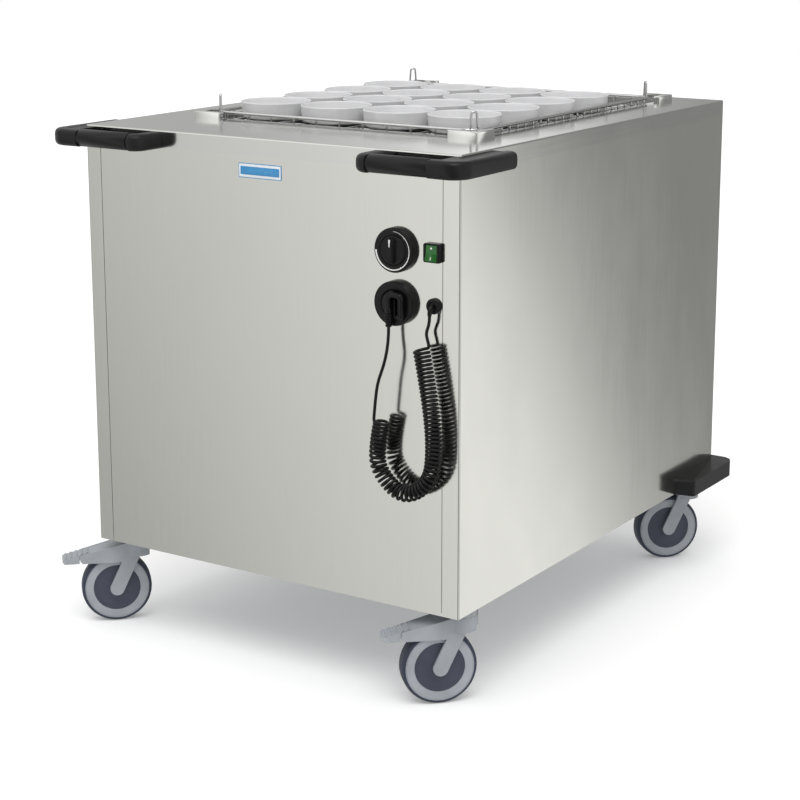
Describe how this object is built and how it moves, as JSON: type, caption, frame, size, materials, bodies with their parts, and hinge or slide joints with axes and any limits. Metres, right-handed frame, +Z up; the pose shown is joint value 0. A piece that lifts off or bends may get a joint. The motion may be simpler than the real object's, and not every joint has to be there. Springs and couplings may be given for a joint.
{
  "type": "heated basket dispenser cart",
  "caption": "Wheeled stainless cabinet with a sprung, heated shaft that lifts a wire basket of round bowls level with its top; corner push handles, dial, switch and curly cord.",
  "frame": {"origin": "centre of the footprint, on the floor", "axes": "X to the right seen from the front, Y to the rear, Z up"},
  "size_m": [0.8596, 1.043, 0.9396],
  "materials": {
    "zinc_steel": "zinc plated or raw sheet steel, satin",
    "stainless": "brushed stainless sheet",
    "bright_steel": "bright stainless, lightly polished",
    "wire_chrome": "electropolished wire",
    "bowl_white": "pale grey, slightly glossy",
    "mineral_wool": "loose mineral wool board",
    "spring_steel": "bright spring steel",
    "heater_alloy": "dark heat-tinted sheath",
    "cord_rubber": "matt black cord sheath",
    "green_plastic": "green translucent rocker",
    "tread_rubber": "blue grey non-marking rubber",
    "grey_plastic": "light grey moulded nylon",
    "shoe_plastic": "white slide plastic",
    "black_plastic": "black moulded plastic, fine grain"
  },
  "bodies": {
    "cabinet": {"floor_pan": "zinc_steel", "cross_channels": "zinc_steel", "front_panel": "stainless", "rear_panel": "stainless", "left_panel": "stainless", "right_panel": "stainless", "top_cover": "stainless", "shaft_liner": "stainless", "insulation": "mineral_wool", "corner_guides": "bright_steel", "heater_guard": "stainless", "heater_element": "heater_alloy", "guide_rails": "zinc_steel", "spring_hangers": "zinc_steel", "thermostat_body": "black_plastic", "knob_dial": "black_plastic", "switch_frame": "black_plastic", "park_socket": "black_plastic", "plug": "black_plastic", "cord_gland": "black_plastic", "curly_cord": "cord_rubber", "cord_lead": "cord_rubber", "cord_tail": "cord_rubber", "handle_corners": "black_plastic", "handle_brackets": "black_plastic", "handle_grips": "black_plastic", "rear_bumpers": "black_plastic", "caster_bolts": "spring_steel", "front_right_caster_head": "zinc_steel", "front_left_caster_head": "zinc_steel", "rear_right_caster_head": "zinc_steel", "rear_left_caster_head": "zinc_steel"},
    "platform_lift": {"platform": "stainless", "platform_carriages": "zinc_steel", "guide_shoes": "shoe_plastic", "spring_bank_left": "spring_steel", "spring_bank_right": "spring_steel"},
    "basket": {"basket_floor": "wire_chrome", "basket_frame": "wire_chrome"},
    "bowl_set": {"bowls": "bowl_white"},
    "knob": {"thermostat_knob": "black_plastic"},
    "rocker": {"switch_rocker": "green_plastic"},
    "front_right_swivel": {"front_right_fork": "grey_plastic", "front_right_axle": "spring_steel"},
    "front_right_wheel": {"front_right_tyre": "tread_rubber", "front_right_wheel_hub": "grey_plastic"},
    "front_right_pedal": {"front_right_brake_pedal": "grey_plastic"},
    "front_left_swivel": {"front_left_fork": "grey_plastic", "front_left_axle": "spring_steel"},
    "front_left_wheel": {"front_left_tyre": "tread_rubber", "front_left_wheel_hub": "grey_plastic"},
    "front_left_pedal": {"front_left_brake_pedal": "grey_plastic"},
    "rear_right_swivel": {"rear_right_fork": "grey_plastic", "rear_right_axle": "spring_steel"},
    "rear_right_wheel": {"rear_right_tyre": "tread_rubber", "rear_right_wheel_hub": "grey_plastic"},
    "rear_left_swivel": {"rear_left_fork": "grey_plastic", "rear_left_axle": "spring_steel"},
    "rear_left_wheel": {"rear_left_tyre": "tread_rubber", "rear_left_wheel_hub": "grey_plastic"}
  },
  "joints": [
    {"name": "platform_slide", "type": "slide", "parent": "cabinet", "child": "platform_lift", "axis": [0, 0, 1], "range_m": [-0.45, 0], "stiffness_N_per_m": 1500, "springref_m": 0.12, "deforming": ["spring_bank_left", "spring_bank_right"]},
    {"name": "basket_lift_out", "type": "slide", "parent": "platform_lift", "child": "basket", "axis": [0, 0, 1], "range_m": [0, 0.3]},
    {"name": "bowls_lift_out", "type": "slide", "parent": "basket", "child": "bowl_set", "axis": [0, 0, 1], "range_m": [0, 0.3]},
    {"name": "thermostat_turn", "type": "hinge", "parent": "cabinet", "child": "knob", "pos_m": [0.27629, -0.4635, 0.745], "axis": [0, 1, 0], "range_deg": [0, 270]},
    {"name": "rocker_tilt", "type": "hinge", "parent": "cabinet", "child": "rocker", "pos_m": [0.34429, -0.4695, 0.7465], "axis": [1, 0, 0], "range_deg": [-12, 0]},
    {"name": "front_right_swivel_turn", "type": "hinge", "parent": "cabinet", "child": "front_right_swivel", "pos_m": [0.35979, -0.4035, 0.16], "axis": [0, 0, 1], "continuous": true},
    {"name": "front_right_wheel_spin", "type": "hinge", "parent": "front_right_swivel", "child": "front_right_wheel", "pos_m": [0.33292, -0.43037, 0.0625], "axis": [-0.7071, 0.7071, 0], "continuous": true},
    {"name": "front_right_brake_press", "type": "hinge", "parent": "front_right_swivel", "child": "front_right_pedal", "pos_m": [0.34848, -0.41481, 0.1407], "axis": [0.7071, -0.7071, 0], "range_deg": [0, 5]},
    {"name": "front_left_swivel_turn", "type": "hinge", "parent": "cabinet", "child": "front_left_swivel", "pos_m": [-0.32621, -0.4035, 0.16], "axis": [0, 0, 1], "continuous": true},
    {"name": "front_left_wheel_spin", "type": "hinge", "parent": "front_left_swivel", "child": "front_left_wheel", "pos_m": [-0.35308, -0.43037, 0.0625], "axis": [-0.7071, 0.7071, 0], "continuous": true},
    {"name": "front_left_brake_press", "type": "hinge", "parent": "front_left_swivel", "child": "front_left_pedal", "pos_m": [-0.33752, -0.41481, 0.1407], "axis": [0.7071, -0.7071, 0], "range_deg": [0, 5]},
    {"name": "rear_right_swivel_turn", "type": "hinge", "parent": "cabinet", "child": "rear_right_swivel", "pos_m": [0.35979, 0.4445, 0.16], "axis": [0, 0, 1], "continuous": true},
    {"name": "rear_right_wheel_spin", "type": "hinge", "parent": "rear_right_swivel", "child": "rear_right_wheel", "pos_m": [0.33292, 0.41763, 0.0625], "axis": [-0.7071, 0.7071, 0], "continuous": true},
    {"name": "rear_left_swivel_turn", "type": "hinge", "parent": "cabinet", "child": "rear_left_swivel", "pos_m": [-0.32621, 0.4445, 0.16], "axis": [0, 0, 1], "continuous": true},
    {"name": "rear_left_wheel_spin", "type": "hinge", "parent": "rear_left_swivel", "child": "rear_left_wheel", "pos_m": [-0.35308, 0.41763, 0.0625], "axis": [-0.7071, 0.7071, 0], "continuous": true}
  ]
}
